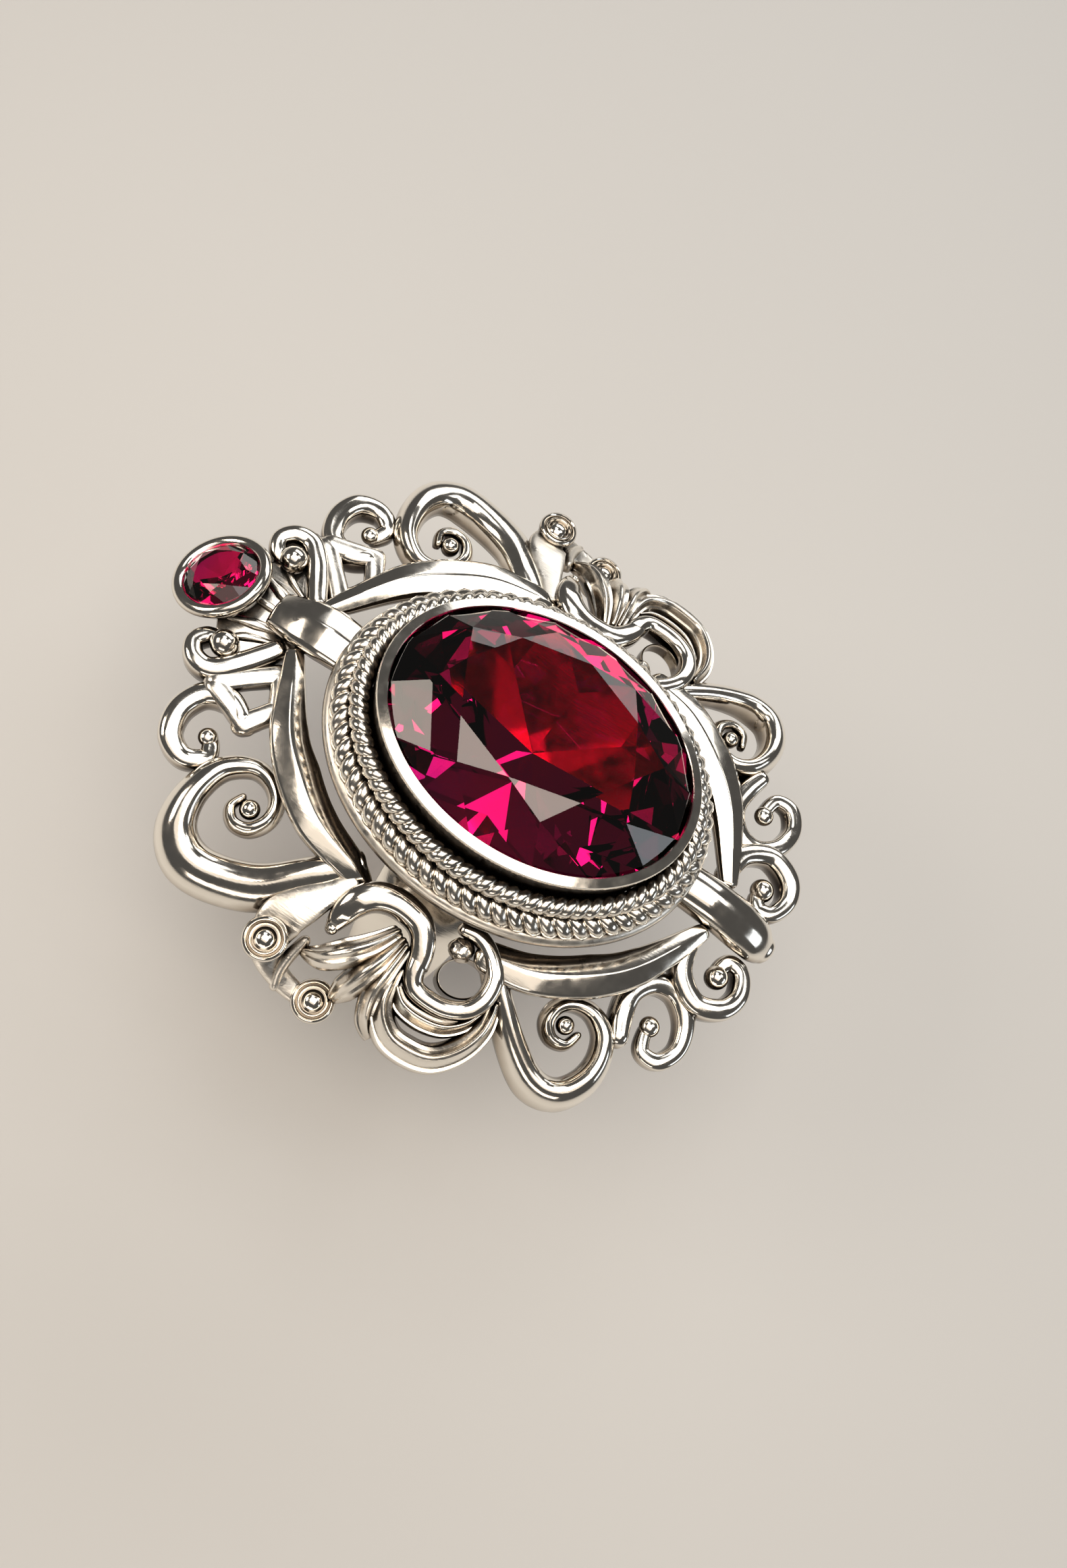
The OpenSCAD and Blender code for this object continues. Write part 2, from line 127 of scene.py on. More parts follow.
def bump(tree, shader, layers):
    """Stacks bumps given as (height, distance in mm, strength)."""
    last = None
    for height, distance, strength in layers:
        node = tree.nodes.new("ShaderNodeBump")
        node.inputs["Distance"].default_value = distance * MM
        node.inputs["Strength"].default_value = strength
        tree.links.new(height, node.inputs["Height"])
        if last:
            tree.links.new(last, node.inputs["Normal"])
        last = node.outputs["Normal"]
    tree.links.new(last, shader.inputs["Normal"])


def silver(name, rough, dark, reach, wave, scratch, sides=0):
    """Silver with a painted highlight on top, painted shade on its sides, and hollows blackened
    by oxide and painted shade.

    sides is how bright the painted shade leaves the sides, from 0 to 0.6.
    """
    mat, tree, shader = material(name, 1, rough, (0.93, 0.9, 0.85))
    # Ambient occlusion blackens the hollows: partly oxide, partly painted shade.
    hollow = tree.nodes.new("ShaderNodeAmbientOcclusion")
    hollow.samples = 8
    hollow.inputs["Distance"].default_value = reach * MM
    where = tree.nodes.new("ShaderNodeTexCoord")
    facing = tree.nodes.new("ShaderNodeSeparateXYZ")
    tree.links.new(where.outputs["Normal"], facing.inputs["Vector"])
    # Painted highlight on what faces up, painted shade on what faces sideways.
    painted_top_light = tree.nodes.new("ShaderNodeMapRange")
    for socket, value in (("From Min", 0), ("From Max", 0.75),
                          ("To Min", sides), ("To Max", 0.6)):
        painted_top_light.inputs[socket].default_value = value
    tree.links.new(facing.outputs["Z"], painted_top_light.inputs["Value"])
    patina_and_painted_light = weigh(tree, hollow.outputs["AO"], 0.6, painted_top_light.outputs["Result"])
    patina_and_painted_light = weigh(tree, noise(tree, 700, 4), 0.16, patina_and_painted_light)
    # The colour runs from painted shade, near black, to a painted cream highlight, with random
    # tone from the noise.
    tint = ramp(tree, patina_and_painted_light, [
        (0.0, (0.02, 0.016, 0.013)),
        (dark, (0.06, 0.047, 0.037)),
        (dark + 0.25, (0.47, 0.405, 0.33)),
        (dark + 0.55, (0.97, 0.925, 0.845)),
    ])
    tree.links.new(tint, shader.inputs["Base Color"])
    finish = ramp(tree, noise(tree, 1500, 5), [
        (0.3, (rough * 0.7,) * 3),
        (0.75, (rough * 1.7,) * 3),
    ])
    tree.links.new(finish, shader.inputs["Roughness"])
    bump(tree, shader, [
        (noise(tree, 420, 2), 0.12, wave),
        (noise(tree, 9000, 3, (1, 0.12, 1), 25), 0.02, scratch),
    ])
    return mat


def gem(name, tint, dark_tint):
    mat, tree, shader = material(name, 0, 0.0, tint)
    shader.inputs["Transmission Weight"].default_value = 1
    shader.inputs["IOR"].default_value = 1.76
    zone = ramp(tree, noise(tree, 260, 3), [(0.3, dark_tint), (0.62, tint)])
    tree.links.new(zone, shader.inputs["Base Color"])
    return mat


POLISHED = silver("polished_silver", 0.11, 0.45, 1.6, 0.14, 0.12)
CAST = silver("cast_silver", 0.19, 0.46, 1.4, 0.30, 0.25)
ROPE = silver("rope_silver", 0.16, 0.38, 0.7, 0.2, 0.2)
SATIN = silver("satin_silver", 0.30, 0.38, 1.6, 0.25, 0.8)
BAND_SILVER = silver("band_silver", 0.13, 0.30, 1.6, 0.12, 0.15, 0.45)
# A darker copy of the silver: painted shade on the bezel's wall and the rail.
WALL = silver("wall_silver", 0.30, 0.80, 2.0, 0.1, 0.3)
# The darkest copy of the silver, nearly black all over: painted shade on the gallery ring and
# the seats under the stones.
DULL_SHADED_SILVER = silver("oxidised_silver", 0.36, 0.95, 2.0, 0.5, 0.4, 0.2)
RUBY = gem("ruby", (0.68, 0.003, 0.085), (0.42, 0.003, 0.12))

# ---------------------------------------------------------------- shaping


def finish_piece(name, bm, mat, nodes, slot=None, sharp=38, smoother=0, mirror=(1, 1)):
    """Turns a bmesh in mm into a finished piece that stands for the given solids."""
    if mirror != (1, 1):
        bmesh.ops.scale(bm, vec=(mirror[0], mirror[1], 1), verts=bm.verts)
    bmesh.ops.remove_doubles(bm, verts=bm.verts, dist=MERGE)
    bmesh.ops.recalc_face_normals(bm, faces=bm.faces)
    bmesh.ops.scale(bm, vec=(MM, MM, MM), verts=bm.verts)
    mesh = bpy.data.meshes.new(name)
    bm.to_mesh(mesh)
    bm.free()
    mesh.materials.append(mat)
    mesh.shade_smooth()
    if sharp:
        mesh.set_sharp_from_angle(angle=radians(sharp))
    piece = bpy.data.objects.new(name, mesh)
    bpy.context.scene.collection.objects.link(piece)
    if smoother:
        soft = piece.modifiers.new("soft", "SUBSURF")
        soft.levels = soft.render_levels = smoother
    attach(piece, "root")
    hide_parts(*nodes)
    return piece


def drop(x):
    """How far the openwork falls away towards the sides."""
    return 0.055 * max(abs(x) - 8, 0) ** 2


def between(values, f):
    """The value part way along a list, from 0 at its start to 1 at its end."""
    k = f * (len(values) - 1)
    i = min(int(k), len(values) - 2)
    return values[i] + (values[i + 1] - values[i]) * (k - i)


def smooth_point(line, f):
    """A point part way along the smooth curve through a line's points."""
    n = len(line) - 1
    k = min(int(f * n), n - 1)
    u = f * n - k
    a, b = Vector(line[max(k - 1, 0)]), Vector(line[k])
    c, d = Vector(line[k + 1]), Vector(line[min(k + 2, n)])
    return 0.5 * (2 * b + (c - a) * u + (2 * a - 5 * b + 4 * c - d) * u * u
                  + (3 * b - a - 3 * c + d) * u ** 3)


def on_deck(p):
    """A point whose height is given from the deck, moved to where it really is."""
    return Vector((p[0], p[1], DECK + p[2] - drop(p[0])))


def edges_of(verts):
    return list(dict.fromkeys(e for v in verts for e in v.link_edges))


def extruded(bm, edges):
    """Extrudes a ring of edges, and gives the edges and vertices of the new ring."""
    out = bmesh.ops.extrude_edge_only(bm, edges=edges)["geom"]
    return ([e for e in out if isinstance(e, bmesh.types.BMEdge)],
            [v for v in out if isinstance(v, bmesh.types.BMVert)])


def rounded_end(station, share):
    """Shrinking stations past an end, over a share of its half width."""
    p, way, w, h = station
    turns = [radians(a) for a in (28, 55, 80)]
    return [(p + way * w * share * sin(a), way, w * cos(a), h * cos(a)) for a in turns]


def strap(bm, line, wide, tall, outline, steps=48, caps=(0, 0)):
    """Sweeps an outline along the smooth curve through a line.

    wide and tall are half sizes along it, and caps rounds an end off over that share of
    the half width.
    """
    path = [on_deck(smooth_point(line, i / steps)) for i in range(steps + 1)]
    stations = []
    for i, p in enumerate(path):
        way = path[min(i + 1, steps)] - path[max(i - 1, 0)]
        way.z = 0
        way.normalize()
        f = i / steps
        stations.append((p, way, between(wide, f), between(tall, f)))
    if caps[0]:
        stations[:0] = rounded_end(stations[0], -caps[0])[::-1]
    if caps[1]:
        stations += rounded_end(stations[-1], caps[1])
    before = None
    ring = [bm.verts.new((x, 0, z)) for x, z in outline]
    edges = list(bm.faces.new(ring).edges)
    for p, way, w, h in stations:
        here = Matrix(((-way.y * w, way.x, 0, p.x), (way.x * w, way.y, 0, p.y),
                       (0, 0, h, p.z), (0, 0, 0, 1)))
        if before is None:
            bmesh.ops.transform(bm, matrix=here, verts=ring)
        else:
            edges, ring = extruded(bm, edges)
            bmesh.ops.transform(bm, matrix=here @ before.inverted(), verts=ring)
        before = here
    bmesh.ops.contextual_create(bm, geom=edges)


def rings(bm, profile, a=0, b=0, segments=48, closed=False, place=None):
    """A turned shape: one ring for each (radius, height), or offset from an oval a, b."""
    ring = bmesh.ops.create_circle(bm, cap_ends=False, radius=1, segments=segments)["verts"]
    first = edges = edges_of(ring)
    size, z = (1, 1), 0
    everything = list(ring)
    for i, (r, height) in enumerate(profile):
        now = (max(a + r, 1e-3), max(b + r, 1e-3))
        if i:
            edges, ring = extruded(bm, edges)
            everything += ring
        bmesh.ops.scale(bm, vec=(now[0] / size[0], now[1] / size[1], 1), verts=ring)
        bmesh.ops.translate(bm, vec=(0, 0, height - z), verts=ring)
        size, z = now, height
    if closed:
        bmesh.ops.bridge_loops(bm, edges=edges + first)
    if place is not None:
        bmesh.ops.transform(bm, matrix=place, verts=everything)
    bmesh.ops.remove_doubles(bm, verts=everything, dist=MERGE_POLE)


def arc(centre, r, a0, a1, n):
    """Points of a profile's round part, in degrees."""
    return [(centre[0] + r * cos(radians(a0 + (a1 - a0) * i / n)),
             centre[1] + r * sin(radians(a0 + (a1 - a0) * i / n))) for i in range(n + 1)]


def at(x, y, z):
    return Matrix.Translation((x, y, z))


def turn_about(axis, degrees):
    return Matrix.Rotation(radians(degrees), 4, axis)


def ball(bm, centre, r, squash=1):
    """A ball at a place on the deck, flattened or stretched upwards by squash."""
    made = bmesh.ops.create_uvsphere(bm, u_segments=24, v_segments=14, radius=r)["verts"]
    bmesh.ops.scale(bm, vec=(1, 1, squash), verts=made)
    bmesh.ops.translate(bm, vec=on_deck(centre), verts=made)


def wire_loop(points, r):
    """A closed mesh tube along points in mm."""
    data = bpy.data.curves.new("wire", "CURVE")
    data.dimensions = "3D"
    line = data.splines.new("POLY")
    line.points.add(len(points) - 1)
    for knot, p in zip(line.points, points):
        knot.co = (*p, 1)
    line.use_cyclic_u = True
    data.bevel_depth = r
    data.bevel_resolution = 2
    tube = bpy.data.objects.new("wire", data)
    bpy.context.scene.collection.objects.link(tube)
    bpy.context.view_layer.update()
    mesh = bpy.data.meshes.new_from_object(tube)
    bpy.data.objects.remove(tube)
    bpy.data.curves.remove(data)
    return mesh


# Outlines as (across, up) in half widths and half heights. Across is positive to the left
# of the way the line goes. TUBE is lopsided, and its steep side is the inside of the top
# scroll. The bottom scroll winds the other way, so it takes TUBE_BACK.
TUBE = [(1, -1), (1, -0.1), (0.96, 0.3), (0.8, 0.7), (0.5, 0.95), (0.15, 1), (-0.25, 0.88),
        (-0.62, 0.55), (-0.86, 0.1), (-0.98, -0.4), (-1, -1)]
TUBE_BACK = [(-x, z) for x, z in TUBE]
BAND = [(1, -1), (1, 0.4), (0.93, 0.72), (0.7, 0.9), (0.25, 1), (-0.25, 1), (-0.7, 0.9),
        (-0.93, 0.72), (-1, 0.4), (-1, -1)]
RIBBON = [(1, -1), (1, 0.35), (0.92, 0.6), (0.12, 0.98), (0, 1.03), (-0.12, 0.98),
          (-0.92, 0.6), (-1, 0.35), (-1, -1)]
DOME = [(1, -1), (1, -0.2), (0.94, 0.2), (0.75, 0.62), (0.42, 0.9), (0, 1), (-0.42, 0.9),
        (-0.75, 0.62), (-0.94, 0.2), (-1, -0.2), (-1, -1)]
LEAF = [(1, -1), (1, -0.2), (0.85, 0.25), (0.68, 0.0), (0.45, 0.55), (0.2, 0.95), (0, 1),
        (-0.2, 0.85), (-0.38, 0.35), (-0.62, 0.65), (-0.78, 0.2), (-1, -0.1), (-1, -1)]

SIDES = (("left", -1), ("right", 1))


def both_sides(node, suffix, mat, shape, **finish):
    """Makes a piece for a node on the right and its mirror image on the left.

    shape is a function that fills in the bmesh of the right one.
    """
    for side, sx in SIDES:
        bm = bmesh.new()
        shape(bm)
        name = side + "_" + node
        finish_piece(name + suffix, bm, mat, [name], mirror=(sx, 1), **finish)


# ---------------------------------------------------------------- shank and gallery


def shank():
    """A band that grows a little wider towards the head, with rounded outer edges."""
    finger_r, outer_r, outer_lift = 8.65, 10.6, 0.75
    half_low, half_high = 2.0, high("shank").y
    top, widens_from = high("shank").z, -2
    # Corners as a share of the way out through the band and a share of its half width.
    profile = [(0, -1), (0.25, -1), (0.75, -0.93), (0.93, -0.75), (1, -0.4), (1, 0.4),
               (0.93, 0.75), (0.75, 0.93), (0.25, 1), (0, 1)]
    bm = bmesh.new()
    ring = bmesh.ops.create_circle(bm, cap_ends=False, radius=1, segments=128)["verts"]
    bmesh.ops.rotate(bm, matrix=Matrix.Rotation(pi / 2, 3, "X"), verts=ring)
    edges = first = edges_of(ring)
    for i, (share, across) in enumerate(profile):
        if i:
            edges, ring = extruded(bm, edges)
        for v in ring:
            way = Vector((v.co.x, 0, v.co.z)).normalized()
            far = outer_lift * way.z + sqrt(outer_r ** 2 - (outer_lift * way.x) ** 2)
            r = finger_r + (far - finger_r) * share
            up = min(max((way.z * r - widens_from) / (top - widens_from), 0), 1)
            v.co = (way.x * r, (half_low + (half_high - half_low) * up) * across, way.z * r)
    bmesh.ops.bridge_loops(bm, edges=edges + first)
    cut = bmesh.ops.bisect_plane(bm, geom=bm.verts[:] + bm.edges[:] + bm.faces[:],
                                 plane_co=(0, 0, top), plane_no=(0, 0, 1), clear_outer=True)
    rim = [e for e in cut["geom_cut"] if isinstance(e, bmesh.types.BMEdge)]
    bmesh.ops.holes_fill(bm, edges=rim)
    finish_piece("shank_band", bm, BAND_SILVER, ["shank"], sharp=40)


def gallery():
    bm = bmesh.new()
    rings(bm, [(0, 1.1), (0, -0.1), (1.1, -0.1), (1.18, 0.1), (1.18, 1.0), (1.0, 1.1)],
          BEZEL_A, BEZEL_B, 128, closed=True, place=at(0, 0, DECK))
    finish_piece("gallery_ring", bm, DULL_SHADED_SILVER, ["gallery_plate"], sharp=30)


def bezel():
    """The plain wall that holds the stone, with a burnished lip over the girdle."""
    bottom = low("bezel_wall").z
    lip = RIM - 0.25
    bm = bmesh.new()
    rings(bm, [(-0.1, RIM - 0.46), (0, RIM - 0.38), (0.02, RIM - 0.28), (0, RIM - 0.19),
               (-0.04, RIM - 0.13), (-0.47, RIM), (-0.51, RIM - 0.04), (-0.53, lip),
               (-0.36, lip - 0.03), (-0.3, RIM - 0.46)],
          BEZEL_A, BEZEL_B, 160, closed=True)
    finish_piece("stone_bezel_lip", bm, POLISHED, ["bezel_wall"], sharp=30)
    bm = bmesh.new()
    rings(bm, [(-0.03, bottom), (-0.03, RIM - 0.4), (-0.36, RIM - 0.4), (-0.36, bottom)],
          BEZEL_A, BEZEL_B, 160, closed=True)
    finish_piece("stone_bezel_wall", bm, WALL, ["bezel_wall"], sharp=30)
    bm = bmesh.new()
    seat_low, seat_high = low("bezel_seat").z, high("bezel_seat").z
    rings(bm, [(-0.38, seat_low), (-0.38, seat_high - 0.02), (-0.42, seat_high - 0.1),
               (-1.2, seat_low)], BEZEL_A, BEZEL_B, 96, closed=True)
    finish_piece("stone_seat", bm, DULL_SHADED_SILVER, ["bezel_seat"], sharp=30)


def cut_stone(name, node, slot, half_size, girdle, top, culet, place, turn=0, lean=(0, 0)):
    """A stone cut facet by facet from a blank: table, kites, stars, halves and pavilion.

    girdle gives its lower and upper edge, turn swings all the facets round, and lean moves
    the crown sideways for each mm that it rises.
    """
    # How far out the table's and the stars' corners are, as shares of the girdle's radius.
    table, star = 0.587, 0.746
    lower_halves = 1.12  # how much steeper they are than the pavilion's main facets
    girdle_low, girdle_high = girdle
    crown, depth = top - girdle_high, girdle_low - culet
    main_step, half_step = cos(radians(22.5)), cos(radians(11.25))
    star_rise = crown * (1 - star * main_step) / (1 - table)
    bm = bmesh.new()
    rings(bm, [(0, culet), (1, culet), (1, top), (0, top)], segments=96)

    def cut(azimuth, radius, z, slope):
        """Takes off what lies outside a plane that rises inwards by slope."""
        out = Vector((cos(radians(azimuth)), sin(radians(azimuth)), 0))
        facing = out * slope + Vector((0, 0, 1))
        gone = bmesh.ops.bisect_plane(
            bm, geom=bm.verts[:] + bm.edges[:] + bm.faces[:], dist=1e-5, clear_outer=True,
            plane_co=out * radius + Vector((0, 0, z)),
            plane_no=facing if slope > 0 else -facing)
        rim = [e for e in gone["geom_cut"] if isinstance(e, bmesh.types.BMEdge)]
        if rim:
            bmesh.ops.contextual_create(bm, geom=rim)

    for i in range(8):
        cut(45 * i, 1, girdle_high, crown / (1 - table))
    for i in range(8):
        cut(45 * i + 22.5, table * main_step, top,
            (crown - star_rise) / (star - table * main_step))
    for i in range(16):
        corner = 45 * (i // 2) + (11.25 if i % 2 == 0 else 33.75)
        cut(corner, half_step, girdle_high, star_rise / (half_step - star * half_step))
    for i in range(8):
        cut(45 * i + 22.5, 1, girdle_low, -depth)
    for i in range(16):
        cut(22.5 * i + 11.25, half_step, girdle_low, -depth * lower_halves)
    bmesh.ops.dissolve_limit(bm, angle_limit=radians(0.5), verts=bm.verts, edges=bm.edges)
    bmesh.ops.rotate(bm, matrix=Matrix.Rotation(radians(turn), 3, "Z"), verts=bm.verts)
    bmesh.ops.scale(bm, vec=(*half_size, 1), verts=bm.verts)
    slide = Matrix(((1, 0, lean[0], -lean[0] * girdle_high),
                    (0, 1, lean[1], -lean[1] * girdle_high), (0, 0, 1, 0), (0, 0, 0, 1)))
    bmesh.ops.transform(bm, matrix=slide,
                        verts=[v for v in bm.verts if v.co.z > girdle_high + 1e-3])
    bmesh.ops.transform(bm, matrix=place, verts=bm.verts)
    piece = finish_piece(name, bm, RUBY, [node], slot=slot, sharp=0)
    for face in piece.data.polygons:
        face.use_smooth = False


# ---------------------------------------------------------------- ropes and rail


def rope(name, node, outset, z, turns, hand, spread, thick):
    """Two wires twisted round each other along an oval that is outset from the bezel."""
    a, b = BEZEL_A + outset, BEZEL_B + outset
    per_turn, fine = 14, 4000
    count = turns * per_turn
    spots = [(a * cos(2 * pi * i / fine), b * sin(2 * pi * i / fine)) for i in range(fine + 1)]
    lengths = [0.0]
    for p, q in zip(spots, spots[1:]):
        lengths.append(lengths[-1] + hypot(q[0] - p[0], q[1] - p[1]))
    bm = bmesh.new()
    for strand in range(2):
        points = []
        j = 0
        for i in range(count):
            while lengths[j + 1] < lengths[-1] * i / count:
                j += 1
            x, y = spots[j]
            out = Vector((x / a ** 2, y / b ** 2, 0)).normalized()
            turn = hand * 2 * pi * i / per_turn + pi * strand
            points.append(Vector((x, y, z + spread * sin(turn))) + out * spread * cos(turn))
        bm.from_mesh(wire_loop(points, thick))
    finish_piece(name, bm, ROPE, [node], sharp=0)


def rail():
    r = 0.45
    bm = bmesh.new()
    rings(bm, arc((0, 0), r, 0, 345, 23), high("rope_rail").x - r, high("rope_rail").y - r, 160,
          closed=True, place=at(0, 0, DECK + 0.5))
    finish_piece("border_rail", bm, WALL, ["rope_rail"], sharp=0)


# ---------------------------------------------------------------- openwork

TOP_SCROLL = [
    (8.3, 3.5, -1.1), (10, 5.2, -1.3), (11.7, 7, -1.6), (12.5, 9.2, -1.8), (12.5, 10.9, -1.8),
    (11.5, 12.1, -1.8), (9.8, 12.4, -1.8), (8.1, 11.9, -1.8), (7.2, 10.7, -1.8),
    (7.3, 9.6, -1.8), (8.0, 8.8, -1.8), (9.0, 8.6, -1.8), (9.85, 9.1, -1.8),
    (10.0, 9.95, -1.8), (9.45, 10.5, -1.8), (8.75, 10.3, -1.8)]
BOTTOM_SCROLL = [
    (8.3, -3.6, -1.1), (9.9, -5.3, -1.3), (11.4, -7.2, -1.6), (12.3, -9, -1.8),
    (12.1, -10.4, -1.8), (11, -11.2, -1.8), (9.7, -11.3, -1.8), (8.5, -10.8, -1.8),
    (7.9, -9.8, -1.8), (8.0, -8.8, -1.8), (8.6, -8.1, -1.8), (9.5, -8.0, -1.8),
    (10.1, -8.6, -1.8), (10.0, -9.4, -1.8), (9.3, -9.7, -1.8)]
TOP_CURL = [
    (5.6, 12.5, -1.9), (5.1, 13.6, -2.1), (5.5, 14.8, -2.3), (6.8, 15.3, -2.4),
    (8.1, 14.9, -2.5), (8.6, 13.8, -2.6), (8, 12.9, -2.6), (7.2, 13.2, -2.6)]
BOTTOM_CURL = [
    (8.3, -11.5, -2), (7.2, -11.1, -2.2), (5.9, -11, -2.2), (4.8, -11.8, -2.3),
    (4.6, -13.1, -2.4), (5.5, -14.2, -2.5), (6.9, -14.6, -2.6), (8, -14, -2.6),
    (8, -13, -2.6), (7, -12.7, -2.6)]
TOP_END = [
    (1.6, 13.2, -1.6), (2.7, 13.9, -1.8), (3.7, 14.6, -1.9), (4.4, 15.4, -2),
    (4.3, 16.3, -2), (3.6, 16.8, -2), (2.9, 16.4, -2), (2.9, 15.8, -2)]
BOTTOM_END = [
    (2.2, -12.2, -1.6), (3.7, -12.6, -1.8), (4.6, -14, -2), (4.1, -15.4, -2),
    (3, -15.9, -2), (1.9, -15.5, -2), (1.7, -14.7, -2), (2.3, -14.4, -2)]


def scaled(values, by):
    return [v * by for v in values]


def scrolls():
    """The big scrolls, each winding on in a thinning spiral round a ball."""
    def top(bm):
        wide = scaled([0.7, 0.85, 1, 1, 1, 0.85, 0.68, 0.55, 0.46, 0.42, 0.38, 0.34, 0.31,
                       0.28, 0.25, 0.2], 1.2)
        tall = [0.7, 0.9, 1, 1.1, 1.1, 1, 0.9, 0.8, 0.75, 0.7, 0.65, 0.6, 0.6, 0.55, 0.5, 0.4]
        strap(bm, TOP_SCROLL, wide, tall, TUBE, steps=84, caps=(0, 1))
        ball(bm, (9.05, 9.65, -1.75), 0.52, 1.1)

    def bottom(bm):
        wide = scaled([0.5, 0.55, 0.62, 0.7, 0.72, 0.66, 0.56, 0.5, 0.44, 0.4, 0.36, 0.32,
                       0.29, 0.26, 0.2], 1.2)
        tall = [0.6, 0.8, 1, 1.2, 1.2, 1.1, 1, 0.9, 0.8, 0.75, 0.7, 0.65, 0.6, 0.5, 0.4]
        strap(bm, BOTTOM_SCROLL, wide, tall, TUBE_BACK, steps=80, caps=(0, 1))
        ball(bm, (9.2, -8.9, -1.75), 0.48, 1.1)

    both_sides("top_scroll", "_strap", POLISHED, top, smoother=1)
    both_sides("bottom_scroll", "_strap", POLISHED, bottom, smoother=1)


def ribbons():
    bottom = [(8.8, 3.6, -0.9), (8.3, 6.0, -0.75), (6.8, 8.5, -0.7), (4.9, 10.4, -0.7),
              (1.5, 12.4, -0.7)]
    top = [(9.2, 2.8, -1.15), (8.85, 4.1, -0.85), (8.05, 6.6, -0.75), (6.6, 8.7, -0.7),
           (4.9, 10.4, -0.7), (1.5, 12.4, -0.7)]
    shapes = (("top", 1, top, [0.3, 0.8, 1.06, 1.12, 0.95, 0.45],
               [0.45, 0.68, 0.73, 0.75, 0.71, 0.45]),
              ("bottom", -1, bottom, [0.8, 1.02, 1.12, 0.95, 0.45],
               [0.6, 0.71, 0.75, 0.71, 0.45]))
    for side, sx in SIDES:
        for end, sy, line, wide, tall in shapes:
            bm = bmesh.new()
            strap(bm, line, wide, tall, RIBBON, steps=48, caps=(0.6, 0.6))
            name = side + "_" + end + "_ribbon"
            finish_piece(name + "_strap", bm, POLISHED, [name], mirror=(sx, sy), smoother=1)


def curls():
    """The small curls and the end curls, each rolled up round a ball."""
    def top(bm):
        strap(bm, TOP_CURL, scaled([0.8, 1, 1, 1, 1, 0.9, 0.8, 0.7], 0.62),
              [0.8, 0.95, 0.95, 0.95, 0.95, 0.8, 0.7, 0.5], BAND, steps=44, caps=(1, 1))
        ball(bm, (7.1, 13.45, -2.3), 0.5, 0.8)

    def bottom(bm):
        strap(bm, BOTTOM_CURL, scaled([0.8, 1, 1, 1, 1, 0.9, 0.8, 0.8, 0.7, 0.6], 0.6),
              [0.8, 0.95, 0.95, 0.95, 0.95, 0.9, 0.8, 0.7, 0.6, 0.5], BAND, steps=48,
              caps=(1, 1))
        ball(bm, (6.75, -12.75, -2.25), 0.55, 0.8)

    wide = scaled([0.9, 1, 1, 1, 0.9, 0.8, 0.8, 0.7], 0.6)
    tall = [0.8, 0.9, 0.95, 0.95, 0.9, 0.8, 0.7, 0.5]

    def top_end(bm):
        strap(bm, TOP_END, wide, tall, BAND, steps=40, caps=(1, 1))
        ball(bm, (2.95, 15.5, -1.35), 0.74)

    def bottom_end(bm):
        strap(bm, BOTTOM_END, wide, tall, BAND, steps=40, caps=(1, 1))
        ball(bm, (2.75, -14.45, -1.75), 0.65)

    for node, shape in (("top_curl", top), ("bottom_curl", bottom),
                        ("top_end_curl", top_end), ("bottom_end_curl", bottom_end)):
        both_sides(node, "_strap", POLISHED, shape, smoother=1)


def links():
    """The open four-sided frames between the ribbon and the small curl."""
    def frame_bars(bm):
        for a, b in (((2.6, 12.4), (4.8, 14.7)), ((4.2, 11.4), (5.8, 12.4)),
                     ((2.7, 12.3), (4.2, 11.4)), ((5.7, 12.3), (4.9, 14.6))):
            mid = ((a[0] + b[0]) / 2, (a[1] + b[1]) / 2)
            strap(bm, [(*a, -1.75), (*mid, -1.7), (*b, -1.75)], [0.6, 0.54, 0.6],
                  [0.6, 0.58, 0.6], BAND, steps=8, caps=(1, 1))

    both_sides("top_link", "_frame", CAST, frame_bars, smoother=1)


def bands():
    """The broad bands over the top and the bottom of the head."""
    bm = bmesh.new()
    strap(bm, [(0, 9.9, -0.1), (0, 11.5, -0.1), (0, 13, -0.4), (0, 14.6, -1.1)],
          [1.35, 1.45, 1.35, 0.95], [0.8, 0.95, 0.9, 0.7], RIBBON, steps=24)
    finish_piece("top_band_dome", bm, POLISHED, ["top_band"], smoother=1)
    bm = bmesh.new()
    strap(bm, [(0, -9.9, -0.1), (0, -12, -0.2), (0, -14, -0.6), (0, -15.3, -1.1),
               (0, -16.0, -1.6)], [1.2, 1.25, 1.3, 1.2, 0.8], [0.8, 0.9, 0.9, 0.8, 0.7],
          DOME, steps=22, caps=(0, 0.6))
    finish_piece("bottom_band_dome", bm, POLISHED, ["bottom_band"], smoother=2)


# ---------------------------------------------------------------- accent stone


def accent():
    """The small tilted stone in its bezel and seat."""
    tilted = at(0, ACCENT_Y, ACCENT_TOP) @ turn_about("X", ACCENT_TILT)
    rim = arc((2.25, -0.5), 0.35, 200, -40, 14)
    bm = bmesh.new()
    rings(bm, [(1.9, -1.2), (1.9, -0.62)] + rim + [(2.2, -1.2)], segments=72, closed=True,
          place=tilted)
    finish_piece("accent_bezel_rim", bm, POLISHED, ["accent_bezel"], sharp=40)
    bm = bmesh.new()
    rings(bm, [(1.5, -1.2), (2.0, -1.2), (2.0, -0.55), (1.95, -0.55)], segments=48,
          closed=True, place=tilted)
    finish_piece("accent_seat_ring", bm, DULL_SHADED_SILVER, ["accent_seat"])
    cut_stone("accent_stone_cut", "accent_stone", "accent_stone", (2, 2), (-0.5, -0.4), 0.2,
              -1.5, tilted)


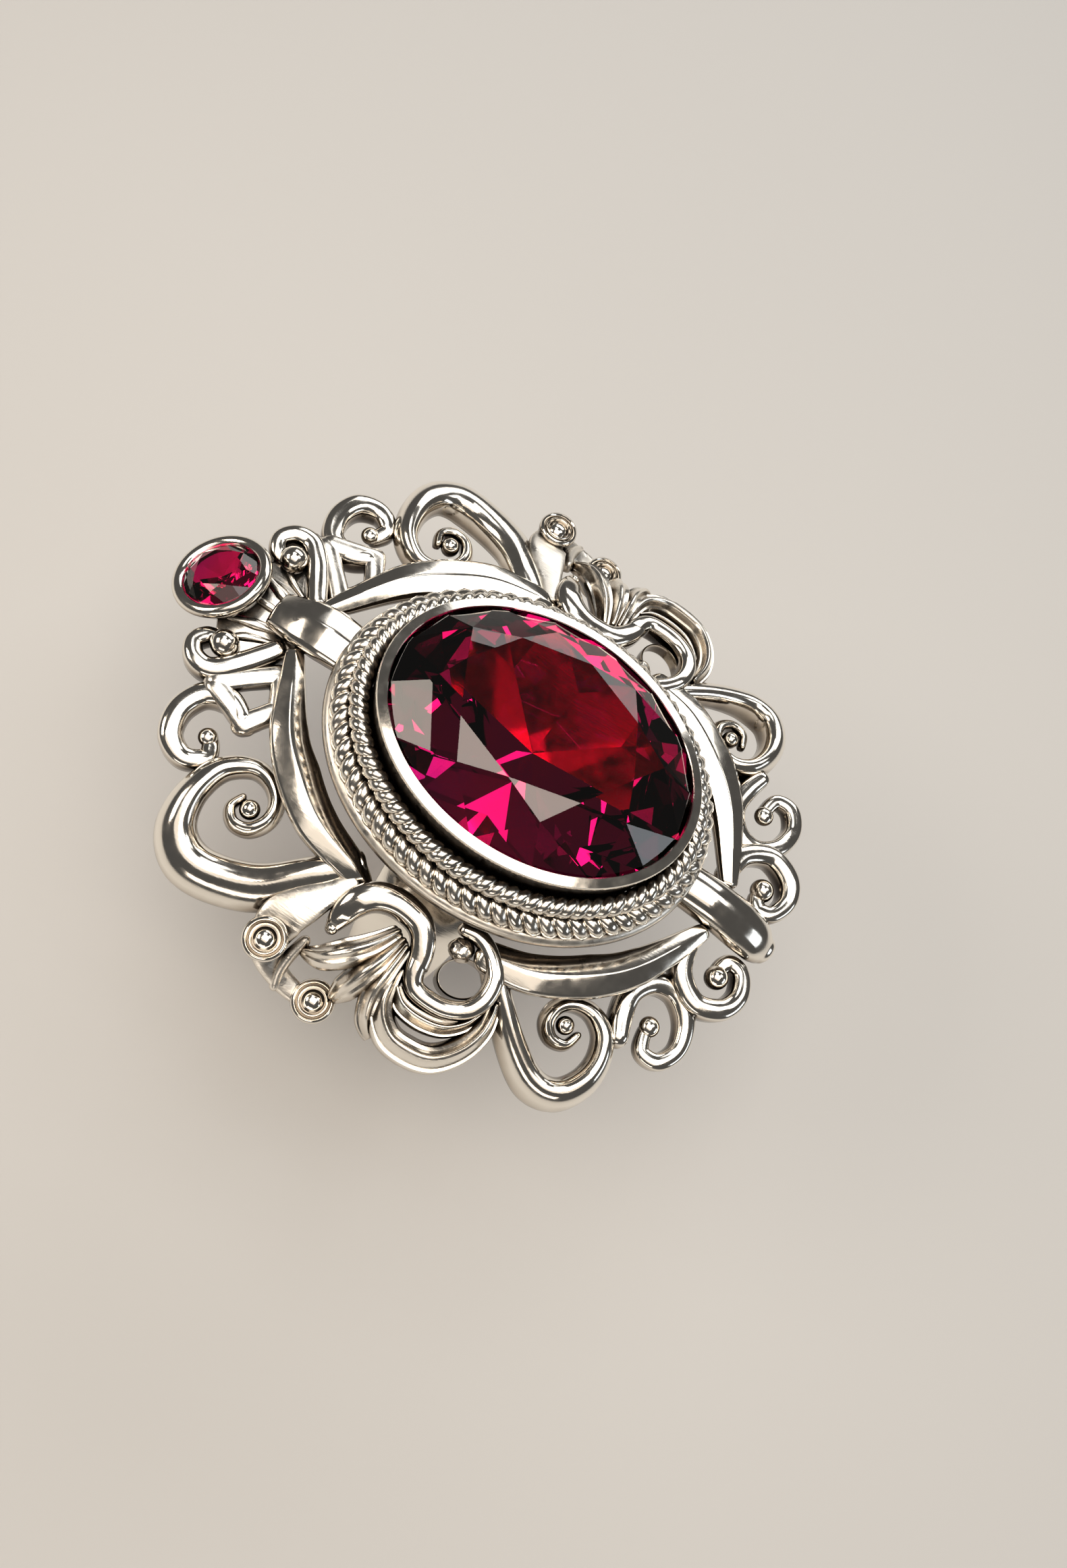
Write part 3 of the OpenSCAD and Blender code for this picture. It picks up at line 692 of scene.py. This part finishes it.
def flange():
    """The flat shield under the small stone, with uneven ridges that run out to its edge."""
    half = [(1.4, 12.8), (2.6, 13.7), (3.7, 14.5), (3.4, 15.4), (2.4, 16.4), (1.6, 16.9)]
    plan = half + [(-x, y) for x, y in reversed(half)]
    bottom, thick = DECK - 2.4, 0.72
    bm = bmesh.new()
    face = bm.faces.new([bm.verts.new((x, y, bottom)) for x, y in plan])
    up = bmesh.ops.extrude_face_region(bm, geom=[face])["geom"]
    bmesh.ops.translate(bm, vec=(0, 0, thick),
                        verts=[v for v in up if isinstance(v, bmesh.types.BMVert)])
    bmesh.ops.bevel(bm, geom=bm.edges[:], offset=0.15, segments=2, profile=0.5,
                    affect="EDGES", material=-1)
    for x0, x1, y1, w in ((-1.3, -2.5, 15.7, 0.26), (-0.6, -1.5, 16.3, 0.32),
                          (0.2, 0.1, 16.5, 0.24), (0.8, 1.5, 16.2, 0.34),
                          (1.5, 2.6, 15.5, 0.22)):
        strap(bm, [(x0, 13.6, -1.75), ((x0 + x1) / 2, 15, -1.65), (x1, y1, -1.75)],
              [0.5 * w, w, 0.6 * w], [0.14, 0.24, 0.14], DOME, steps=8, caps=(1, 1))
    finish_piece("accent_flange", bm, CAST, ["accent_plate"], sharp=40)


# ---------------------------------------------------------------- side ornaments


def buttons():
    """Round posts with a rolled rim, a groove, a raised ring and a low dome."""
    profile = [(0, 0.02), (0.25, -0.01), (0.45, -0.14), (0.54, -0.26), (0.58, -0.27),
               (0.62, -0.1), (0.67, -0.02), (0.73, -0.06), (0.76, -0.2), (0.8, -0.22),
               (0.84, -0.08), (0.93, 0.0), (1.03, -0.05), (1.09, -0.2), (1.08, -0.42),
               (0.98, -0.6), (0.98, -1.7), (0, -1.7)]
    for level, x, y, z in (("upper", 13.8, 5.45, -1.3), ("lower", 14.65, 1.95, -3.6)):
        def post(bm):
            rings(bm, profile, segments=48, place=at(x, y, DECK + z) @ turn_about("Y", 8))

        both_sides(level + "_button", "_post", POLISHED, post, sharp=50)


def branches():
    """The flat branch that carries both buttons, and the strut beside them."""
    def plate(bm):
        strap(bm, [(9.2, 3.5, -0.9), (10.3, 4.1, -0.9), (11.4, 4.8, -0.8), (12.6, 5.4, -0.7),
                   (13.8, 5.2, -1.0), (14.5, 4.1, -1.5), (14.7, 2.8, -1.8), (14.7, 1.8, -1.9)],
              [0.4, 0.6, 0.95, 1.15, 0.9, 0.6, 0.5, 0.5],
              [0.5, 0.5, 0.5, 0.5, 0.5, 0.45, 0.4, 0.4], BAND, steps=36)
        strap(bm, [(12.7, 3.9, -1.2), (13.5, 4.1, -1.2), (14.4, 4.1, -1.2), (15.0, 3.9, -1.2)],
              [0.3, 0.32, 0.3, 0.26], [0.5, 0.5, 0.5, 0.4], DOME, steps=12, caps=(1, 1))

    both_sides("branch", "_plate", SATIN, plate, smoother=1)


HOOK = [
    (11.6, 3.2, -1.0), (11.0, 3.15, -0.85), (10.1, 2.9, -0.75), (9.4, 2.25, -0.7),
    (9.1, 1.3, -0.7), (9.2, 0.2, -0.7), (9.6, -0.5, -0.7), (10.4, -1.0, -0.7),
    (11.2, -1.2, -0.7)]
LOOP = [
    (10.4, -1.0, -0.72), (11.3, -1.2, -0.7), (11.85, -1.6, -0.7), (12.0, -2.4, -0.7),
    (11.9, -3.4, -0.7), (11.4, -4.3, -0.7), (10.6, -4.7, -0.7), (9.7, -4.65, -0.75),
    (9.0, -4.2, -0.8), (8.45, -3.5, -0.85), (8.2, -2.8, -0.85), (8.3, -2.1, -0.85)]
FRONDS = (
    ("upper", [(10.0, 0.4, -1.0), (11.3, 1.1, -0.6), (12.2, 1.9, -0.35), (12.9, 2.8, -0.6),
               (13.1, 3.8, -1.2)], [0.4, 0.72, 0.78, 0.68, 0.2], [0.6, 0.8, 0.8, 0.75, 0.3]),
    ("middle", [(10.2, 0.0, -1.0), (11.6, 0.35, -0.5), (12.7, 0.75, -0.3),
                (13.6, 1.1, -0.7), (14.2, 1.3, -1.4)], [0.4, 0.72, 0.8, 0.68, 0.2],
     [0.6, 0.8, 0.8, 0.75, 0.3]),
    ("lower", [(10.4, -0.3, -1.0), (12.0, -0.2, -0.5), (13.2, -0.2, -0.3),
               (14.2, -0.6, -0.5), (14.7, -1.3, -1.1)], [0.4, 0.6, 0.62, 0.5, 0.2],
     [0.6, 0.8, 0.8, 0.75, 0.3]))
CRESCENTS = (
    ("outer", [(11.4, -0.5, -0.95), (13.2, -0.8, -0.55), (14.15, -1.8, -0.4),
               (14.3, -3.0, -0.4), (14.0, -4.2, -0.45), (13.0, -5.1, -0.6),
               (11.7, -5.5, -0.8), (10.4, -5.3, -1.0)],
     [0.4, 0.65, 0.76, 0.8, 0.78, 0.7, 0.6, 0.4],
     [0.6, 0.8, 0.85, 0.85, 0.85, 0.8, 0.7, 0.6]),
    ("inner", [(12.2, -0.9, -0.9), (12.75, -1.6, -0.7), (12.85, -2.7, -0.65),
               (12.6, -3.8, -0.7), (11.9, -4.6, -0.8), (11.0, -5.0, -0.95)],
     [0.3, 0.5, 0.55, 0.52, 0.45, 0.3], [0.6, 0.7, 0.75, 0.75, 0.7, 0.5]))


def hooks():
    """The hooked strap, the loop it runs on into, and the socket ring inside the loop."""
    def hook(bm):
        strap(bm, HOOK, [0.35, 0.6, 0.74, 0.74, 0.7, 0.66, 0.62, 0.58, 0.55],
              [0.5, 0.8, 0.95, 0.95, 0.95, 0.95, 0.9, 0.85, 0.8], BAND, 44, (1, 0))
        ball(bm, (11.65, 3.15, -0.75), 0.3)

    def loop(bm):
        strap(bm, LOOP, [0.56, 0.5, 0.48, 0.48, 0.48, 0.48, 0.48, 0.46, 0.44, 0.42, 0.4, 0.34],
              [0.8, 0.85, 0.85, 0.85, 0.85, 0.85, 0.8, 0.8, 0.75, 0.7, 0.6, 0.5], BAND, 56,
              (0, 1))
        rings(bm, [(1.0, -1.1), (0.96, 0.0), (0.9, 0.03), (0.86, -0.02), (0.86, -1.1)],
              segments=40, closed=True,
              place=at(10.25, -3.3, DECK - 1.15) @ turn_about("Z", 63)
              @ Matrix.Diagonal((1.3, 1.05, 1, 1)))

    both_sides("hook_leaf", "_blade", POLISHED, hook, smoother=1)
    both_sides("volute", "_blade", POLISHED, loop, smoother=1)


def leaves():
    """The ridged fronds and crescents behind the hook."""
    for kind, steps, blades in (("frond", 26, FRONDS), ("crescent", 44, CRESCENTS)):
        for which, line, wide, tall in blades:
            def blade(bm):
                strap(bm, line, wide, tall, LEAF, steps)

            both_sides(which + "_" + kind, "_blade", CAST, blade, smoother=1)


def beads():
    """The rough cast bead inside each loop."""
    def knob(bm):
        bmesh.ops.create_icosphere(bm, subdivisions=4, radius=0.62)
        for v in bm.verts:
            v.co *= 1 + noise_at(v.co * 2.6) * 0.16 + noise_at(v.co * 6.5) * 0.07
        bmesh.ops.translate(bm, vec=(9.15, -2.55, DECK - 1.2), verts=bm.verts)

    both_sides("bead", "_knob", CAST, knob, sharp=0)


# ---------------------------------------------------------------- camera, light, floor


def camera():
    """A close camera high on the left, turned a little about its own line of sight."""
    data = bpy.data.cameras.new("camera")
    data.lens = 26.33
    data.sensor_width = 36
    data.clip_start = 0.001
    eye = bpy.data.objects.new("camera", data)
    bpy.context.scene.collection.objects.link(eye)
    swing, height, roll = -99.237, 67.218, 43.033
    across, up, distance = 0.6615, -0.8316, 57.505
    facing = turn_about("Z", swing) @ turn_about("X", 90 - height) @ turn_about("Z", roll)
    place = Vector((0, 0, DECK)) + facing @ Vector((across, up, distance))
    eye.matrix_world = Matrix.Translation(place * MM) @ facing
    bpy.context.scene.camera = eye


def softbox(name, place, size, glow, tint=(1, 1, 1), up=(0, 1, 0)):
    """A rectangular light at a place in mm that faces the ring and glows evenly.

    The second length of size runs along up.
    """
    data = bpy.data.lights.new(name, "AREA")
    data.shape = "RECTANGLE"
    data.size, data.size_y = size[0] * MM, size[1] * MM
    data.energy = glow * pi * data.size * data.size_y
    data.color = tint
    lamp = bpy.data.objects.new(name, data)
    bpy.context.scene.collection.objects.link(lamp)
    back = (Vector(place) - HEAD_CENTRE).normalized()
    across = Vector(up).cross(back).normalized()
    turned = Matrix((across, back.cross(across), back)).transposed()
    lamp.matrix_world = Matrix.Translation(Vector(place) * MM) @ turned.to_4x4()


def studio():
    """Softboxes overhead and round the sides, a dim room, and a pale paper floor."""
    world = bpy.data.worlds.new("studio")
    bpy.context.scene.world = world
    world.use_nodes = True
    shade = world.node_tree.nodes["Background"]
    shade.inputs["Color"].default_value = (1.0, 0.96, 0.92, 1)
    shade.inputs["Strength"].default_value = 0.07
    warm, plain, cool = (1, 0.89, 0.77), (1, 0.98, 0.95), (0.88, 0.94, 1)
    softbox("window", (-35, 5, 210), (76, 190), 4.4, warm)
    softbox("window_side", (-98, 0, 195), (46, 170), 0.9, warm)
    softbox("overhead", (32, 0, 210), (52, 190), 2.2, plain)
    softbox("north_east", (94, 80, 210), (60, 90), 2.2, plain)
    softbox("south_east", (94, -96, 210), (60, 90), 2.2, plain)
    softbox("east", (200, 10, 125), (100, 210), 2.0, plain)
    softbox("north", (-60, 150, 120), (90, 64), 4.2, warm, (0, 0, 1))
    softbox("south", (0, -200, 90), (120, 50), 2.0, cool, (0, 0, 1))
    softbox("west", (-200, -30, 70), (140, 50), 2.0, warm, (0, 0, 1))
    bm = bmesh.new()
    bmesh.ops.create_grid(bm, x_segments=1, y_segments=1, size=0.5)
    bmesh.ops.translate(bm, vec=(0, 0, FLOOR * MM - 2e-5), verts=bm.verts)
    mesh = bpy.data.meshes.new("floor")
    bm.to_mesh(mesh)
    bm.free()
    mesh.materials.append(material("floor_paper", 0, 0.75, (0.74, 0.73, 0.71))[0])
    floor = bpy.data.objects.new("floor", mesh)
    bpy.context.scene.collection.objects.link(floor)


# ---------------------------------------------------------------- assembly

camera()
studio()
shank()
gallery()
bezel()
cut_stone("centre_stone_cut", "main_stone", "centre_stone", (STONE_A, STONE_B),
          (RIM - 0.45, RIM - 0.25), STONE_TOP, CULET, Matrix.Identity(4), turn=-2.4,
          lean=(0.19, 0.19))
rope("inner_twist", "inner_rope", 0.55, DECK + 2.58, 42, 1, 0.22, 0.33)
rope("outer_twist", "outer_rope", 1.12, DECK + 1.35, 35, -1, 0.36, 0.4)
rail()
scrolls()
ribbons()
curls()
links()
bands()
accent()
flange()
buttons()
branches()
hooks()
leaves()
beads()

bpy.context.scene.view_settings.view_transform = "Standard"
